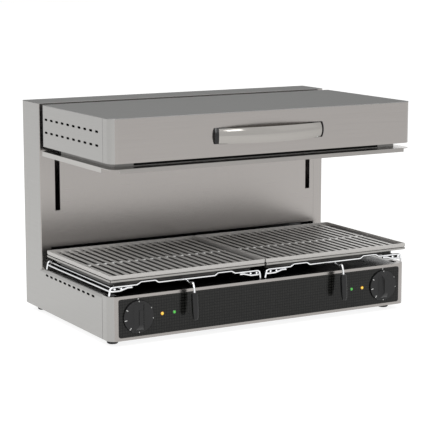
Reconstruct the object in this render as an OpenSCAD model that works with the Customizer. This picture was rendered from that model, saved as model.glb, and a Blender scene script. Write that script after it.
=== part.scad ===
// Counter-top grill with a lifting, counterbalanced heating head.
// Two heated zones over two ribbed grids, each on a drip pan in a pull-out wire rack.
// Millimetres, +X to the right, +Y to the rear, +Z up, standing on its feet at z = 0.

/* [Casing] */
// Width across the side panels
width = 800; // [660:10:1000]
// Depth from the base front to the rear cover
depth = 470; // [430:5:560]
// Height to the top of the column
height = 512; // [480:2:640]
// Thickness of the outer sheets
sheet = 1.2; // [0.8:0.1:2]
// Radius of the upright front corners
corner_r = 20; // [15:0.5:40]
// Radius of the folds along the side panels
fold_r = 9; // [4:0.5:12]
// Depth of the rear column
column_depth = 97; // [90:1:130]
// Height of the base top above the table
base_top = 116; // [105:1:140]

/* [Feet] */
// Height of a foot
foot_h = 15; // [10:1:30]
// Diameter of a foot
foot_d = 28; // [20:1:36]

/* [Control panel] */
// Margin of steel at each end of the control panel
panel_end = 21.5; // [20:0.5:60]
// Margin of steel above and below the control panel
panel_edge = 7; // [5:0.5:10]
// Thickness of the control panel
panel_t = 1.5; // [1:0.1:3]
// Distance of a knob axis from the nearer side
knob_in = 69; // [64:1:90]
// Diameter of a knob's skirt
knob_d = 75; // [50:1:80]
// Diameter of a knob spindle
spindle_d = 6; // [4:0.5:8]
// Diameter of an indicator lamp
lamp_d = 8; // [6:0.5:12]

/* [Column] */
// Height of the opening under the backsplash
opening_h = 49; // [40:1:70]
// Distance of a lift slot from the nearer side
slot_in = 45; // [43:1:80]
// Width of a lift slot
slot_w = 12.8; // [12.4:0.2:18]
// Diameter of a guide rod
rod_d = 16; // [10:1:20]
// Pitch radius of a cable pulley
pulley_r = 25; // [18:1:26]
// Diameter of a lift cable
cable_d = 3; // [2:0.5:4]
// Height of the counterweight
weight_h = 100; // [60:1:108]

/* [Head] */
// Height of the head
head_h = 98.6; // [80:0.2:120]
// Travel of the head
lift = 170; // [100:5:180]
// Overhang of the head in front of the base
head_over = 12; // [0:1:30]
// Gap between the head and the column
head_gap = 23; // [18:1:40]
// Gap between the head and the plate below it
plate_gap = 11.8; // [8:0.2:16]
// Diameter of a heating element
element_d = 8; // [6:0.5:10]
// Runs of a heating element
element_runs = 6; // [4:2:8]

/* [Handle] */
// Length of the handle
handle_l = 296; // [200:2:400]
// Height of the handle
handle_h = 36; // [24:1:44]
// Reach of the handle in front of the head
handle_out = 36; // [30:1:50]
// Height of the handle's middle over the head's lower edge
handle_up = 47.2; // [30:0.2:60]

/* [Grids and pans] */
// Gap behind a grid, up to the backsplash
grid_back = 30; // [20:1:60]
// Gap between the two grids
grid_gap = 2; // [1:0.5:6]
// Number of ribs on a grid
ribs = 19; // [9:1:25]
// Part of the rib pitch that a rib covers
rib_share = 0.535; // [0.3:0.005:0.8]
// Height of a rib's crown below the rim
rib_drop = 6; // [2:0.5:8]
// Thickness of the pan sheet
pan_t = 1.2; // [0.8:0.1:2]
// Depth of a pan
pan_h = 18.6; // [12:0.2:24]

/* [Racks] */
// Diameter of the rack wire
wire_d = 5; // [4:0.5:6]
// Height of a rack's front wire over the base top
rack_h = 21; // [18:0.5:30]
// Travel of a rack
pull = 200; // [100:10:220]
// Diameter of a rack's grip
grip_d = 16.2; // [10:0.2:18]
// Length of a rack's grip
grip_l = 61.5; // [40:0.5:64]

/* [Hidden] */
$fn = 48;
gland_out = 14;
half = width / 2;
total_y = depth + head_over + handle_out + gland_out;
back_y = total_y / 2 - gland_out;
front_y = back_y - depth;
column_y = back_y - column_depth;
cover_y = back_y - sheet;
cap_z = height - sheet;
flange = 26;
front_flange = 14;
wrap_len = 39;
inner = half - flange;
soft = 0.3;
fit = 0.05;
cut = 1;
vent_l = 11.5;
vent_h = 5.2;

backsplash_z = base_top + opening_h;
liner_y = column_y + 30;
floor_z = foot_h + sheet;

panel_w = width - 2 * panel_end;
panel_h = base_top - foot_h - 2 * panel_edge;
panel_z = foot_h + panel_edge + panel_h / 2;
panel_y = front_y - panel_t;
knob_x = half - knob_in;
knob_z = panel_z + 1.5;
lamp_x = [knob_x - 90.6, knob_x - 59.9];
knob_y = panel_y - 0.5;

head_top_z = height - 1.6;
head_z = head_top_z - head_h;
head_y = front_y - head_over;
head_back_y = column_y - head_gap;
head_seam_y = head_y + wrap_len;
head_roof_z = head_top_z - sheet;
plate_t = 1.5;
plate_z = head_z - plate_gap;

pan_front_y = head_y + 35;
pan_back_y = head_back_y - 45;
heater_half = half - 21.5;
heater_z = plate_z + 32;
element_z = plate_z + 12;
board_h = 20;

slot_x = half - slot_in;
arm_h = 51;
arm_w = 10;
arm_z = head_z + 14.2;
slot_low = arm_z - lift - 3;
slot_high = arm_z + arm_h + 3;
rod_y = column_y + 50;
rod_low = base_top + 9;
rod_high = height - 10;
carriage_h = 54;
carriage_z = arm_z - 2;
carriage_w = rod_d + 15;
carriage_y = rod_y - 17;
bush_d = rod_d + 8;
bracket_h = 10;

pulley_z = carriage_z + carriage_h;
rim_r = pulley_r + 1.5;
pulley_x = slot_x - carriage_w / 2 - 1 - rim_r;
pulley_t = 14;
axle_d = 8;
lug_z = carriage_z + 12;

weight_half = slot_x - 35;
weight_z = base_top + 24;
weight_y = rod_y - 14;
weight_t = 28;
guide_d = 10;
guide_x = weight_half * 0.6;
guide_high = weight_z + weight_h + lift + 20;
hook_h = 12;

conduit_x = slot_x + 3;
conduit_y = rod_y + 31;
conduit_r = 8;
conduit_low = floor_z + sheet + 12;
conduit_high = carriage_z + 6;
gland_x = 0.75 * half;
gland_z = 60;

grid_x = half / 2;
grid_half = half / 2 - grid_gap / 2;
grid_y0 = front_y - 1;
grid_y1 = column_y - grid_back;
grid_l = grid_y1 - grid_y0;
lip_h = 4.4;
rack_z = base_top + rack_h;
runner_z = rack_z - wire_d + 0.3;
pan_z = runner_z + wire_d / 2 + soft;
pan_top = pan_z + pan_h;
bar_t = 1.9;
bar_z = pan_top + soft;
rib_z = bar_z + 0.6;
rib_h = 3.1;
rib_crown = 0.7;
rim_z = rib_z + rib_h + rib_crown + rib_drop;
rim_t = 3;
rib_pitch = grid_half / (ribs + 1) * 2 + 0.1;
rib_w = rib_pitch * rib_share;
pan_side = 16.5;
pan_front = 30;
pan_back = 32;

strap_t = 2.5;
strap_crown = 5;
strap_end = handle_l / 2 - 5;
strap_rise = handle_out - 8.5;
strap_r = (pow(strap_end, 2) + pow(strap_rise, 2)) / (2 * strap_rise);
strap_y = head_y - handle_out + strap_r;
strap_angle = asin(strap_end / strap_r);
strap_screw_x = strap_end - 19.5;
handle_z = head_z + handle_up;
section_r = (pow(handle_h / 2, 2) + pow(strap_crown, 2)) / (2 * strap_crown);
bolt_d = 5;
bolt_x = handle_l / 2 - 22;

rack_front = front_y + 10;
rack_back = grid_y1 + 5;
post_x = grid_half - 7.8;
leg_x = post_x + 3;
foot_gap = 1.5;
side_play = 2;

function unit(v) = v / norm(v);
function side_axis(d) = abs(d[2]) < 0.9 ? unit(cross([0, 0, 1], d)) : unit(cross([0, 1, 0], d));

// Axis-aligned block between two corners
module block(low, high) {
    translate(low)
        cube(high - low);
}

module both_sides() {
    children();
    mirror([1, 0, 0])
        children();
}

// Rectangle with rounded corners, in the plane
module rounded(x, y, r) {
    square([x - 2 * r, y], center = true);
    square([x, y - 2 * r], center = true);
    for (a = [-1, 1], b = [-1, 1])
        translate([a * (x / 2 - r), b * (y / 2 - r)])
            circle(r);
}

// Plan of a case with its two front corners rounded
module front_outline(side, front, back, r) {
    translate([-side + r, front])
        square([2 * (side - r), back - front]);
    translate([-side, front + r])
        square([2 * side, back - front - r]);
    for (a = [-1, 1])
        translate([a * (side - r), front + r])
            intersection() {
                circle(r);
                translate([-r - cut, -r - cut])
                    square([2 * (r + cut), r + cut]);
            }
}

module raised(low, high) {
    translate([0, 0, low])
        linear_extrude(high - low)
            children();
}

// Sheet that wraps both front corners, with flanges turned in at top and bottom
module folded_wrap(front, seam, low, high) {
    difference() {
        raised(low, high)
            front_outline(half, front, seam, corner_r);
        raised(low + sheet, high - sheet)
            front_outline(half - sheet, front + sheet, seam + cut, corner_r - sheet);
        raised(low - cut, high + cut)
            front_outline(half - front_flange, front + front_flange, seam + cut,
                corner_r - front_flange);
    }
}

// Round bar from a to b
module bar(a, b, d) {
    z = unit(b - a);
    x = side_axis(z);
    y = cross(z, x);
    multmatrix([
        [x[0], y[0], z[0], a[0]],
        [x[1], y[1], z[1], a[1]],
        [x[2], y[2], z[2], a[2]],
        [0, 0, 0, 1]])
        cylinder(h = norm(b - a), d = d);
}

// Corner b of a path from a to c, rounded, as a run of points
function rounded_corner(a, b, c, r) =
    let (
        u = unit(b - a),
        v = unit(c - b),
        turn = acos(u * v),
        trim = r * tan(turn / 2),
        inward = unit(v - (u * v) * u),
        middle = b - trim * u + r * inward,
        steps = max(2, round(turn / 22)))
    [for (k = [0:steps])
        middle - r * cos(turn * k / steps) * inward + r * sin(turn * k / steps) * u];

function rounded_path(path, r) = concat(
    [path[0]],
    [for (i = [1:len(path) - 2], p = rounded_corner(path[i - 1], path[i], path[i + 1], r)) p],
    [path[len(path) - 1]]);

// Wire bent along a path; the path stays clear of the direction called across
module bent_wire(path, d, r, across) {
    sides = 10;
    line = rounded_path(path, r);
    last = len(line) - 1;
    heading = [for (i = [0:last])
        unit(unit(line[min(i + 1, last)] - line[min(i, last - 1)])
            + unit(line[max(i, 1)] - line[max(i - 1, 0)]))];
    rings = [for (i = [0:last], k = [0:sides - 1])
        let (
            a = unit(cross(heading[i], across)),
            b = cross(heading[i], a))
        line[i] + d / 2 * (cos(360 * k / sides) * a + sin(360 * k / sides) * b)];
    walls = [for (i = [0:last - 1], k = [0:sides - 1])
        [i * sides + k, (i + 1) * sides + k, (i + 1) * sides + (k + 1) % sides, i * sides + (k + 1) % sides]];
    near = [for (k = [0:sides - 1]) k];
    far = [for (k = [sides - 1:-1:0]) last * sides + k];
    polyhedron(rings, concat(walls, [near, far]));
}

// Round bar bent along a path with square corners, as true cylinders and elbows
module square_bent_bar(path, d, r) {
    last = len(path) - 1;
    legs = [for (i = [0:last - 1]) unit(path[i + 1] - path[i])];
    for (i = [0:last - 1])
        bar(path[i] + (i == 0 ? 0 : r) * legs[i], path[i + 1] - (i == last - 1 ? 0 : r) * legs[i], d);
    for (i = [1:last - 1])
        elbow(path[i], legs[i - 1], legs[i], d, r);
}

// Quarter ring that turns a bar from direction a into direction b at a corner
module elbow(corner, a, b, d, r) {
    middle = corner - r * a + r * b;
    up = cross(-b, a);
    multmatrix([
        [-b[0], a[0], up[0], middle[0]],
        [-b[1], a[1], up[1], middle[1]],
        [-b[2], a[2], up[2], middle[2]],
        [0, 0, 0, 1]])
        rotate_extrude(angle = 90)
            translate([r, 0])
                circle(d = d);
}

module along_y(x, z, y0, y1, d) {
    translate([x, y0, z])
        rotate([-90, 0, 0])
            cylinder(h = y1 - y0, d = d);
}

// ---------------------------------------------------------------- base casing

module base_front_wrap() {
    color("#A9A7A4")
        difference() {
            folded_wrap(front_y, front_y + wrap_len, foot_h, base_top);
            block([-panel_w / 2 + 10, front_y - cut, panel_z - panel_h / 2 + 9],
                [panel_w / 2 - 10, front_y + 5, panel_z + panel_h / 2 - 9]);
        }
}

// Base side and column side in one sheet, folded in along every free edge
module side_panel() {
    hole_pitch = 25.5;
    hole_y = column_y - 32;
    holes = floor((hole_y - front_y - wrap_len - 40) / hole_pitch);
    difference() {
        union() {
            translate([0, front_y + wrap_len, 0])
                rotate([-90, 0, 0])
                    linear_extrude(cover_y - front_y - wrap_len)
                        difference() {
                            side_section(half, foot_h, base_top, fold_r);
                            side_section(half - sheet, floor_z, base_top - sheet, fold_r - sheet);
                        }
            raised(base_top - 26, cap_z)
                difference() {
                    column_section(half, column_y, cover_y, fold_r);
                    column_section(half - sheet, column_y + sheet, cover_y - sheet, fold_r - sheet);
                }
        }
        for (i = [0:holes])
            side_vent(hole_y - i * hole_pitch, base_top - 12);
        for (y = foot_rows)
            translate([-foot_x, y, 0])
                cylinder(h = base_top / 2, d = 6.6);
    }
}

// Short vent slot through a left side sheet
module side_vent(y, z) {
    translate([-half - cut, y, z])
        rotate([90, 0, 90])
            linear_extrude(10)
                rounded(vent_l, vent_h, vent_h / 2 - 0.1);
}

// Section across the base side, open towards the inside
module side_section(side, low, high, r) {
    translate([-side, -high + r])
        square([side - inner, high - low - r]);
    translate([-side + r, -high])
        square([side - inner - r, high - low]);
    translate([-side + r, -high + r])
        circle(r);
}

// Section across the column side, open towards the inside
module column_section(side, front, back, r) {
    translate([-side, front + r])
        square([side - inner, back - front - r]);
    translate([-side + r, front])
        square([side - inner - r, back - front]);
    translate([-side + r, front + r])
        circle(r);
}

module side_panel_left() {
    color("#B0AFAC")
        side_panel();
}

module side_panel_right() {
    color("#B0AFAC")
        mirror([1, 0, 0])
            side_panel();
}

foot_x = half - 30;
foot_rows = [front_y + 50, back_y - 33];

module base_floor() {
    slot_rows = 5;
    color("#8F9092")
        difference() {
            raised(floor_z, floor_z + sheet)
                front_outline(half - 2 * sheet, front_y + 2 * sheet, cover_y, corner_r);
            for (a = [-1, 1], y = foot_rows)
                translate([a * foot_x, y, 0])
                    cylinder(h = base_top / 2, d = 6.6);
            for (a = [-1, 0, 1], i = [0:slot_rows - 1])
                translate([a * half * 0.55, front_y + 120 + i * 30, floor_z - cut])
                    linear_extrude(sheet + 2 * cut)
                        rounded(110, 8, 3.9);
        }
}

module base_deck() {
    color("#1B1B1C")
        block([-inner, front_y + front_flange, base_top - sheet], [inner, liner_y + sheet, base_top]);
}

module recess_liner() {
    color("#1B1B1C")
        difference() {
            block([-inner, column_y + sheet, base_top], [inner, liner_y + sheet, backsplash_z]);
            block([-inner + sheet, column_y - cut, base_top - cut],
                [inner - sheet, liner_y, backsplash_z - sheet]);
        }
}

module feet() {
    color("#202022")
        for (a = [-1, 1], y = foot_rows)
            translate([a * foot_x, y, 0])
                rotate_extrude()
                    polygon([[0, 0], [foot_d / 2 - 3, 0], [foot_d / 2 - 1, 2], [foot_d / 2, foot_h - 3],
                        [foot_d / 2, foot_h], [0, foot_h]]);
}

// ---------------------------------------------------------------- control panel

module control_panel() {
    color("#1E1F20")
        difference() {
            translate([0, front_y, panel_z])
                rotate([90, 0, 0])
                    linear_extrude(panel_t)
                        rounded(panel_w, panel_h, 5);
            for (a = [-1, 1]) {
                along_y(a * knob_x, knob_z, panel_y - cut, front_y + cut, 12);
                for (x = lamp_x)
                    along_y(a * x, knob_z, panel_y - cut, front_y + cut, lamp_d);
            }
        }
}

// Lens in the panel, with its holder behind
module lamp(x) {
    translate([x, front_y, knob_z])
        rotate([90, 0, 0])
            rotate_extrude()
                polygon([[0, -16], [lamp_d / 2 - 1, -16], [lamp_d / 2 - 1, -4], [lamp_d / 2 + 1, -4],
                    [lamp_d / 2 + 1, 0], [lamp_d / 2, 0], [lamp_d / 2, panel_t + 0.4],
                    [lamp_d / 2 - 1.4, panel_t + 1.6], [0, panel_t + 2]]);
}

module green_lamps() {
    color("#33C046")
        for (a = [-1, 1])
            lamp(a * lamp_x[0]);
}

module amber_lamps() {
    color("#F0A82C")
        for (a = [-1, 1])
            lamp(a * lamp_x[1]);
}

// Regulator behind each knob, held to the panel by its threaded neck
module thermostats() {
    color("#C9C2B4")
        for (a = [-1, 1])
            difference() {
                union() {
                    block([a * knob_x - 22, front_y + 8, knob_z - 24],
                        [a * knob_x + 22, front_y + 44, knob_z + 24]);
                    along_y(a * knob_x, knob_z, panel_y + 0.2, front_y + 9, 11.6);
                    along_y(a * knob_x, knob_z, front_y, front_y + 8, 20);
                }
                along_y(a * knob_x, knob_z, panel_y - cut, front_y + 30, spindle_d + 2 * fit);
            }
}

module terminal_block() {
    color("#D9D4C6")
        difference() {
            block([gland_x - 70, back_y - 50, floor_z + sheet], [gland_x - 10, back_y - 26, floor_z + 26]);
            for (i = [0:4])
                translate([gland_x - 62 + i * 11, back_y - 38, floor_z + 16])
                    cylinder(h = 12, d = 5);
        }
}

// Skirted knob with a scooped grip: a narrow ridge in plan, a flat-topped arch from the side
module knob(x) {
    skirt_t = 4;
    grip_out = 16;
    scoop_r = 26;
    scoop_x = 29.5;
    arch_r = knob_d / 2 + 2.5;
    arch_rise = 3;
    difference() {
        translate([x, knob_y, knob_z])
            rotate([90, 0, 0]) {
                rotate_extrude()
                    polygon([[0, 0], [knob_d / 2, 0], [knob_d / 2, skirt_t - 1.2], [knob_d / 2 - 1, skirt_t],
                        [0, skirt_t]]);
                intersection() {
                    rotate([-90, 0, 0])
                        translate([0, 0, -knob_d / 2])
                            linear_extrude(knob_d)
                                difference() {
                                    translate([-scoop_x * 0.6, -grip_out])
                                        square([2 * scoop_x * 0.6, grip_out - 1]);
                                    for (a = [-1, 1])
                                        translate([a * scoop_x, -grip_out - 8])
                                            circle(scoop_r);
                                }
                    rotate([90, 0, 90])
                        translate([0, 0, -knob_d / 2])
                            linear_extrude(knob_d)
                                intersection() {
                                    translate([0, grip_out + arch_rise - arch_r])
                                        circle(arch_r);
                                    translate([-knob_d / 2 + 2, 1])
                                        square([knob_d - 4, grip_out - 1]);
                                }
                }
            }
        along_y(x, knob_z, knob_y - 9, knob_y + cut, spindle_d);
    }
}

module spindle(x) {
    color("#B9BBBD")
        along_y(x, knob_z, knob_y - 9, front_y + 28, spindle_d);
}

module knob_left() {
    color("#232324")
        knob(-knob_x);
    spindle(-knob_x);
}

module knob_right() {
    color("#232324")
        knob(knob_x);
    spindle(knob_x);
}

// ---------------------------------------------------------------- column

module column_front() {
    color("#A3A09C")
        difference() {
            union() {
                block([-inner, column_y, backsplash_z], [inner, column_y + sheet, cap_z]);
                block([-inner, column_y, backsplash_z], [inner, column_y + 22, backsplash_z + sheet]);
            }
            for (a = [-1, 1]) {
                block([a * slot_x - slot_w / 2, column_y - cut, slot_low],
                    [a * slot_x + slot_w / 2, column_y + 5, slot_high]);
            }
        }
}

module column_cap() {
    lip = 12;
    color("#A3A09C") {
        raised(cap_z, height)
            front_outline(half, column_y, back_y, fold_r);
        block([-inner, column_y + sheet, cap_z - lip], [inner, column_y + 2 * sheet, cap_z]);
    }
}

module rear_cover() {
    color("#A9A7A4")
        difference() {
            block([-half + sheet, cover_y, foot_h], [half - sheet, back_y, cap_z]);
            for (a = [-1, 0, 1], i = [0:7])
                translate([a * half * 0.5, cover_y - cut, base_top + 230 + i * 14])
                    rotate([-90, 0, 0])
                        linear_extrude(sheet + 2 * cut)
                            rounded(90, 6, 2.9);
            for (a = [-1, 1], i = [0:3])
                translate([a * half * 0.35, cover_y - cut, foot_h + 28 + i * 14])
                    rotate([-90, 0, 0])
                        linear_extrude(sheet + 2 * cut)
                            rounded(90, 6, 2.9);
            along_y(gland_x, gland_z, cover_y - cut, back_y + cut, 16);
        }
}

// Gland in the rear cover, and the foot of the wiring sleeve inside
module cable_glands() {
    color("#232324") {
        translate([conduit_x, conduit_y, floor_z + sheet])
            cylinder(h = 12, d = 22);
        translate([gland_x, back_y, gland_z])
            rotate([-90, 0, 0])
                difference() {
                    union() {
                        cylinder(h = 6, d = 24, $fn = 6);
                        rotate_extrude()
                            polygon([[0, -8], [7.9, -8], [7.9, 0], [10.5, 0], [10.5, 9], [9, gland_out - 1.5],
                                [7.5, gland_out], [0, gland_out]]);
                    }
                    translate([0, 0, -9])
                        cylinder(h = gland_out + 12, d = 9);
                }
    }
}

// Screws of the rear cover, and the stud and nut of each foot
module casing_screws() {
    head_d = 7.6;
    color("#B9BBBD")
        for (a = [-1, 1]) {
            for (z = [foot_h + 12, base_top + 60, height - 150, height - 16])
                along_y(a * (half - 14), z, back_y, back_y + 2.2, head_d);
            for (y = foot_rows)
                translate([a * foot_x, y, foot_h]) {
                    cylinder(h = 12, d = 6);
                    translate([0, 0, 2 * sheet])
                        cylinder(h = 5, d = 11.5, $fn = 6);
                }
        }
}

// Outer rods for the head, inner rods for the counterweight
module guide_rods() {
    color("#D5D7D9")
        for (a = [-1, 1]) {
            translate([a * slot_x, rod_y, rod_low])
                cylinder(h = rod_high - rod_low, d = rod_d);
            translate([a * guide_x, rod_y, weight_z - 20])
                cylinder(h = guide_high - weight_z + 20, d = guide_d);
        }
}

// Blocks that hold both ends of each guide rod
module rod_brackets() {
    color("#8F9092") {
        both_sides()
            for (z = [rod_low, rod_high - bracket_h])
                difference() {
                    block([-half + sheet, rod_y - 15, z],
                        [-slot_x + rod_d / 2 + 5, rod_y + 15, z + bracket_h]);
                    translate([-slot_x, rod_y, z - cut])
                        cylinder(h = bracket_h + 2 * cut, d = rod_d);
                }
        for (a = [-1, 1])
            difference() {
                union() {
                    block([a * guide_x - 12, column_y + sheet, guide_high - bracket_h],
                        [a * guide_x + 12, rod_y + 10, guide_high]);
                    block([a * guide_x - 12, liner_y + sheet, weight_z - 18],
                        [a * guide_x + 12, rod_y + 10, weight_z - 8]);
                }
                translate([a * guide_x, rod_y, weight_z - 30])
                    cylinder(h = guide_high, d = guide_d);
            }
    }
}

module stop_collars() {
    color("#202022")
        for (a = [-1, 1])
            translate([a * slot_x, rod_y, carriage_z - lift - 14])
                difference() {
                    cylinder(h = 13.7, d = bush_d + 2);
                    translate([0, 0, -cut])
                        cylinder(h = 16, d = rod_d);
                }
}

module pulley_brackets() {
    color("#8F9092")
        for (a = [-1, 1]) {
            block([a * pulley_x - 22, column_y + sheet, pulley_z - 18],
                [a * pulley_x + 22, column_y + sheet + 3, pulley_z + 14]);
            along_y(a * pulley_x, pulley_z, column_y + sheet + 3, rod_y - pulley_t / 2 - 0.5, 18);
            along_y(a * pulley_x, pulley_z, rod_y - pulley_t / 2 - 0.5, rod_y + pulley_t / 2 + 0.5, axle_d);
            along_y(a * pulley_x, pulley_z, rod_y + pulley_t / 2 + 0.5, rod_y + pulley_t / 2 + 3.5, 13);
        }
}

module pulley(x) {
    groove = cable_d / 2 + soft;
    color("#3A3B3D")
        translate([x, rod_y, pulley_z])
            rotate([90, 0, 0])
                difference() {
                    cylinder(h = pulley_t, r = rim_r, center = true);
                    rotate_extrude()
                        translate([pulley_r, 0])
                            circle(groove);
                    rotate_extrude()
                        translate([pulley_r, -groove])
                            square([6, 2 * groove]);
                    cylinder(h = pulley_t + 2, d = axle_d + 2 * fit, center = true);
                    for (i = [0:4])
                        rotate([0, 0, i * 72 + 36])
                            translate([pulley_r * 0.56, 0, 0])
                                cylinder(h = pulley_t + 2, d = 8, center = true);
                }
}

module pulley_left() {
    pulley(-pulley_x);
}

module pulley_right() {
    pulley(pulley_x);
}

// Part of each cable that lies over its pulley
module cable_tops() {
    color("#C6C8CA")
        for (a = [-1, 1])
            translate([a * pulley_x, rod_y, pulley_z])
                rotate([90, 0, 0])
                    rotate_extrude(angle = 180)
                        translate([pulley_r, 0])
                            circle(d = cable_d);
}

module cable_fronts() {
    color("#C6C8CA")
        for (a = [-1, 1])
            translate([a * (pulley_x + pulley_r), rod_y, lug_z])
                cylinder(h = pulley_z - lug_z, d = cable_d);
}

module cable_backs() {
    low = weight_z + weight_h + hook_h;
    color("#C6C8CA")
        for (a = [-1, 1])
            translate([a * (pulley_x - pulley_r), rod_y, low])
                cylinder(h = pulley_z - low, d = cable_d);
}

module counterweight() {
    color("#55585B")
        difference() {
            block([-weight_half, weight_y, weight_z],
                [weight_half, weight_y + weight_t, weight_z + weight_h]);
            for (a = [-1, 1]) {
                translate([a * guide_x, rod_y, weight_z - cut])
                    cylinder(h = weight_h + 2 * cut, d = guide_d + 2 * fit);
                translate([a * (pulley_x - pulley_r), rod_y, weight_z + weight_h - 10])
                    cylinder(h = 12, d = 6);
            }
        }
}

module weight_hooks() {
    color("#B9BBBD")
        for (a = [-1, 1])
            translate([a * (pulley_x - pulley_r), rod_y, weight_z + weight_h]) {
                translate([0, 0, -10])
                    cylinder(h = 10, d = 6);
                cylinder(h = 4, d = 12, $fn = 6);
                translate([0, 0, 4])
                    cylinder(h = hook_h - 4, d = 7);
            }
}

// ---------------------------------------------------------------- head

module head_front_wrap() {
    color("#A3A09C")
        difference() {
            folded_wrap(head_y, head_seam_y, head_z, head_roof_z);
            for (a = [-1, 1], b = [-1, 1])
                along_y(a * bolt_x, handle_z + b * 9, head_y - cut, head_y + 5, bolt_d);
        }
}

module head_side() {
    hole_pitch = 30.5;
    hole_y = head_back_y - 19;
    holes = floor((hole_y - head_seam_y - 12) / hole_pitch);
    difference() {
        block([-half, head_seam_y, head_z], [-half + front_flange, head_back_y - sheet, head_roof_z]);
        block([-half + sheet, head_seam_y - cut, head_z + sheet],
            [-half + front_flange + cut, head_back_y, head_roof_z - sheet]);
        for (i = [0:holes], z = [34.7, 65.2])
            side_vent(hole_y - i * hole_pitch, head_z + z);
    }
}

module head_side_left() {
    color("#B0AFAC")
        head_side();
}

module head_side_right() {
    color("#B0AFAC")
        mirror([1, 0, 0])
            head_side();
}

module head_top() {
    color("#7F8080")
        raised(head_roof_z, head_top_z)
            front_outline(half, head_y, head_back_y, corner_r);
}

module head_back() {
    color("#A3A09C")
        difference() {
            block([-half, head_back_y - sheet, head_z], [half, head_back_y, head_roof_z]);
            for (a = [-1, 1])
                block([a * slot_x - 3, head_back_y - 3, arm_z + 12],
                    [a * slot_x + 3, head_back_y + 3, arm_z + 39]);
        }
}

module head_floor() {
    color("#8F9092")
        difference() {
            raised(head_z + sheet, head_z + 2 * sheet)
                front_outline(half - sheet, head_y + sheet, head_back_y - sheet, corner_r - sheet);
            block([-heater_half, pan_front_y, head_z], [heater_half, pan_back_y, head_z + 5]);
        }
}

// Open-bottomed box that carries the elements and throws their heat down
module heater_pan() {
    vent_half = heater_half - 51.5;
    color("#9B9A98")
        difference() {
            translate([0, (pan_front_y + pan_back_y) / 2, plate_z])
                linear_extrude(heater_z - plate_z)
                    rounded(2 * heater_half, pan_back_y - pan_front_y, 10);
            translate([0, (pan_front_y + pan_back_y) / 2, plate_z - cut])
                linear_extrude(heater_z - plate_z - sheet + cut)
                    rounded(2 * (heater_half - sheet), pan_back_y - pan_front_y - 2 * sheet, 10 - sheet);
            block([-vent_half, pan_front_y - cut, plate_z + 1.5],
                [vent_half, pan_front_y + 5, plate_z + 10.5]);
            for (a = [-1, 1], y = element_ends)
                translate([a * (heater_half - 12), y, heater_z - 5])
                    cylinder(h = 10, d = element_d + 1);
        }
}

module vent_strip() {
    vent_half = heater_half - 51.5;
    strip = 8;
    count = 34;
    pitch = 2 * (vent_half + 3) / count;
    color("#161617")
        difference() {
            block([-vent_half - 5, pan_front_y + sheet, plate_z + 0.5],
                [vent_half + 5, pan_front_y + 2 * sheet, plate_z + 0.5 + strip + 3]);
            for (i = [0:count - 1])
                block([-vent_half - 3 + i * pitch + 4, pan_front_y, plate_z + 6.2],
                    [-vent_half - 3 + (i + 1) * pitch, pan_front_y + 5, plate_z + 9.5]);
        }
}

module insulation_board() {
    color("#D8D6CF")
        difference() {
            block([-heater_half + 6, pan_front_y + 6, heater_z],
                [heater_half - 6, pan_back_y - 6, heater_z + board_h]);
            for (a = [-1, 1], y = element_ends)
                translate([a * (heater_half - 12), y, heater_z - 5])
                    cylinder(h = board_h + 10, d = element_d + 1);
        }
}

element_span = pan_back_y - pan_front_y - 60;
element_step = element_span / (element_runs - 1);
element_y = pan_front_y + 30;
element_ends = [element_y, element_y + element_span];
element_turn = element_step / 2 - 0.01;

// Serpentine of one zone, both ends turned up at the outer side
function element_path(i) = element_y + i * element_step;

module element(side) {
    near = 14;
    far = heater_half - 12;
    outer = heater_half - 32;
    ends_up = heater_z + board_h - element_z - 4;
    points = concat(
        [[side * far, element_y, element_z + ends_up], [side * far, element_y, element_z]],
        [for (i = [0:element_runs - 1], k = [0, 1])
            let (inward = i % 2 == 0 ? k : 1 - k)
                if (!(i == 0 && k == 0) && !(i == element_runs - 1 && k == 1))
                    [side * (inward == 1 ? near : outer), element_path(i), element_z]],
        [[side * far, element_y + element_span, element_z],
            [side * far, element_y + element_span, element_z + ends_up]]);
    square_bent_bar(points, element_d, min(element_turn, 16));
}

module heating_elements() {
    color("#4A4644")
        for (side = [-1, 1])
            element(side);
}

module element_brackets() {
    low = element_z - element_d / 2 - 4;
    color("#B9BBBD")
        for (a = [-1, 1], x = [heater_half * 0.26, heater_half * 0.74])
            difference() {
                block([a * x - 0.75, element_y - 14, low],
                    [a * x + 0.75, element_y + element_span + 14, heater_z - sheet]);
                for (i = [0:element_runs - 1])
                    translate([a * x - 3, element_path(i), element_z])
                        rotate([0, 90, 0])
                            cylinder(h = 6, d = element_d + 0.6);
            }
}

// Plate round the heated opening, its edges turned down and notched at the corners
module flange_plate() {
    lip = 8;
    back = head_back_y + 8;
    color("#9B9A98")
        difference() {
            union() {
                raised(plate_z - plate_t, plate_z)
                    front_outline(half, head_y, back, corner_r);
                block([-half + 21, head_y, plate_z - plate_t - lip], [half - 21, head_y + plate_t, plate_z]);
                block([-half + 21, back - plate_t, plate_z - plate_t - lip], [half - 21, back, plate_z]);
                both_sides()
                    block([-half, head_y + 47, plate_z - plate_t - lip - 2],
                        [-half + plate_t, back - 2, plate_z]);
            }
            block([-heater_half + 13, pan_front_y + 13, plate_z - 5],
                [heater_half - 13, pan_back_y - 13, plate_z + 5]);
        }
}

module spacers() {
    color("#B9BBBD")
        for (a = [-1, 1], x = [0.33, 0.86])
            translate([a * x * half, head_back_y - 22, plate_z])
                cylinder(h = plate_gap + sheet, d = 9);
}

// ---------------------------------------------------------------- handle

// Crowned band in section, at the strap's radius; extra adds to its face and edges
module strap_section(extra) {
    translate([strap_r, 0])
        intersection() {
            translate([-section_r, 0])
                difference() {
                    circle(section_r + extra, $fn = 96);
                    circle(section_r - strap_t, $fn = 96);
                }
            translate([-section_r / 2, -handle_h / 2 - extra])
                square([section_r, handle_h + 2 * extra]);
        }
}

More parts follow.
